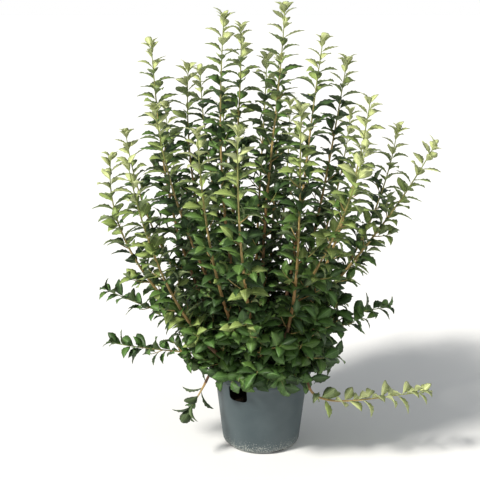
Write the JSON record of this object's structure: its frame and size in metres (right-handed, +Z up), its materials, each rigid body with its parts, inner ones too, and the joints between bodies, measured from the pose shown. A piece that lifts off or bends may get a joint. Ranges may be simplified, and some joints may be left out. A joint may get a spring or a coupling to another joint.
{
  "type": "potted nanking cherry",
  "caption": "Potted nanking cherry: a young, many-stemmed leafy shrub growing from a short stool in a round grey-blue nursery pot with hand grips.",
  "frame": {"origin": "centre of the pot's flat underside", "axes": "+Z up along the pot's axis, -Y towards the front, +X to the right seen from the front"},
  "size_m": [0.9022, 0.7894, 1.2127],
  "materials": {
    "bough_centre_back": "smooth brown bark with fine pores",
    "bough_centre_left": "smooth brown bark with fine pores",
    "bough_front_centre": "smooth brown bark with fine pores",
    "bough_front_left": "smooth brown bark with fine pores",
    "bough_front_right": "smooth brown bark with fine pores",
    "bough_left_front": "smooth brown bark with fine pores",
    "bough_left_inner": "smooth brown bark with fine pores",
    "bough_left_outer": "smooth brown bark with fine pores",
    "bough_left_second": "smooth brown bark with fine pores",
    "bough_left_tall": "smooth brown bark with fine pores",
    "bough_low_right_long": "smooth brown bark with fine pores",
    "bough_right_front": "smooth brown bark with fine pores",
    "bough_right_inner": "smooth brown bark with fine pores",
    "bough_right_mid": "smooth brown bark with fine pores",
    "bough_right_outer": "smooth brown bark with fine pores",
    "bough_right_tall": "smooth brown bark with fine pores",
    "bough_rim_sprig": "smooth brown bark with fine pores",
    "bough_tallest": "smooth brown bark with fine pores",
    "foliage_back_centre_left": "soft matte leaves on thin twigs",
    "foliage_back_centre_right": "soft matte leaves on thin twigs",
    "foliage_back_inner_left": "soft matte leaves on thin twigs",
    "foliage_back_inner_right": "soft matte leaves on thin twigs",
    "foliage_back_left": "soft matte leaves on thin twigs",
    "foliage_back_right": "soft matte leaves on thin twigs",
    "foliage_centre_back": "soft matte leaves on thin twigs",
    "foliage_centre_behind": "soft matte leaves on thin twigs",
    "foliage_centre_left": "soft matte leaves on thin twigs",
    "foliage_front_centre": "soft matte leaves on thin twigs",
    "foliage_front_left": "soft matte leaves on thin twigs",
    "foliage_front_right": "soft matte leaves on thin twigs",
    "foliage_left_behind": "soft matte leaves on thin twigs",
    "foliage_left_front": "soft matte leaves on thin twigs",
    "foliage_left_inner": "soft matte leaves on thin twigs",
    "foliage_left_outer": "soft matte leaves on thin twigs",
    "foliage_left_second": "soft matte leaves on thin twigs",
    "foliage_left_tall": "soft matte leaves on thin twigs",
    "foliage_low_left": "soft matte leaves on thin twigs",
    "foliage_low_left_upper": "soft matte leaves on thin twigs",
    "foliage_low_right_long": "soft matte leaves on thin twigs",
    "foliage_low_right_upper": "soft matte leaves on thin twigs",
    "foliage_right_behind": "soft matte leaves on thin twigs",
    "foliage_right_front": "soft matte leaves on thin twigs",
    "foliage_right_inner": "soft matte leaves on thin twigs",
    "foliage_right_mid": "soft matte leaves on thin twigs",
    "foliage_right_outer": "soft matte leaves on thin twigs",
    "foliage_right_tall": "soft matte leaves on thin twigs",
    "foliage_rim_sprig": "soft matte leaves on thin twigs",
    "foliage_skirt_back": "soft matte leaves on thin twigs",
    "foliage_skirt_back_left": "soft matte leaves on thin twigs",
    "foliage_skirt_back_right": "soft matte leaves on thin twigs",
    "foliage_skirt_front": "soft matte leaves on thin twigs",
    "foliage_skirt_front_left": "soft matte leaves on thin twigs",
    "foliage_skirt_front_right": "soft matte leaves on thin twigs",
    "foliage_skirt_left": "soft matte leaves on thin twigs",
    "foliage_skirt_right": "soft matte leaves on thin twigs",
    "foliage_tallest": "soft matte leaves on thin twigs",
    "pot": "matte moulded nursery plastic, dusty near the foot",
    "potting_mix": "damp dark potting mix",
    "root_stool": "rough brown bark"
  },
  "bodies": {
    "root": {"bough_centre_back": "bough_centre_back", "bough_centre_left": "bough_centre_left", "bough_front_centre": "bough_front_centre", "bough_front_left": "bough_front_left", "bough_front_right": "bough_front_right", "bough_left_front": "bough_left_front", "bough_left_inner": "bough_left_inner", "bough_left_outer": "bough_left_outer", "bough_left_second": "bough_left_second", "bough_left_tall": "bough_left_tall", "bough_low_right_long": "bough_low_right_long", "bough_right_front": "bough_right_front", "bough_right_inner": "bough_right_inner", "bough_right_mid": "bough_right_mid", "bough_right_outer": "bough_right_outer", "bough_right_tall": "bough_right_tall", "bough_rim_sprig": "bough_rim_sprig", "bough_tallest": "bough_tallest", "foliage_back_centre_left": "foliage_back_centre_left", "foliage_back_centre_right": "foliage_back_centre_right", "foliage_back_inner_left": "foliage_back_inner_left", "foliage_back_inner_right": "foliage_back_inner_right", "foliage_back_left": "foliage_back_left", "foliage_back_right": "foliage_back_right", "foliage_centre_back": "foliage_centre_back", "foliage_centre_behind": "foliage_centre_behind", "foliage_centre_left": "foliage_centre_left", "foliage_front_centre": "foliage_front_centre", "foliage_front_left": "foliage_front_left", "foliage_front_right": "foliage_front_right", "foliage_left_behind": "foliage_left_behind", "foliage_left_front": "foliage_left_front", "foliage_left_inner": "foliage_left_inner", "foliage_left_outer": "foliage_left_outer", "foliage_left_second": "foliage_left_second", "foliage_left_tall": "foliage_left_tall", "foliage_low_left": "foliage_low_left", "foliage_low_left_upper": "foliage_low_left_upper", "foliage_low_right_long": "foliage_low_right_long", "foliage_low_right_upper": "foliage_low_right_upper", "foliage_right_behind": "foliage_right_behind", "foliage_right_front": "foliage_right_front", "foliage_right_inner": "foliage_right_inner", "foliage_right_mid": "foliage_right_mid", "foliage_right_outer": "foliage_right_outer", "foliage_right_tall": "foliage_right_tall", "foliage_rim_sprig": "foliage_rim_sprig", "foliage_skirt_back": "foliage_skirt_back", "foliage_skirt_back_left": "foliage_skirt_back_left", "foliage_skirt_back_right": "foliage_skirt_back_right", "foliage_skirt_front": "foliage_skirt_front", "foliage_skirt_front_left": "foliage_skirt_front_left", "foliage_skirt_front_right": "foliage_skirt_front_right", "foliage_skirt_left": "foliage_skirt_left", "foliage_skirt_right": "foliage_skirt_right", "foliage_tallest": "foliage_tallest", "pot": "pot", "potting_mix": "potting_mix", "root_stool": "root_stool"}
  },
  "joints": []
}
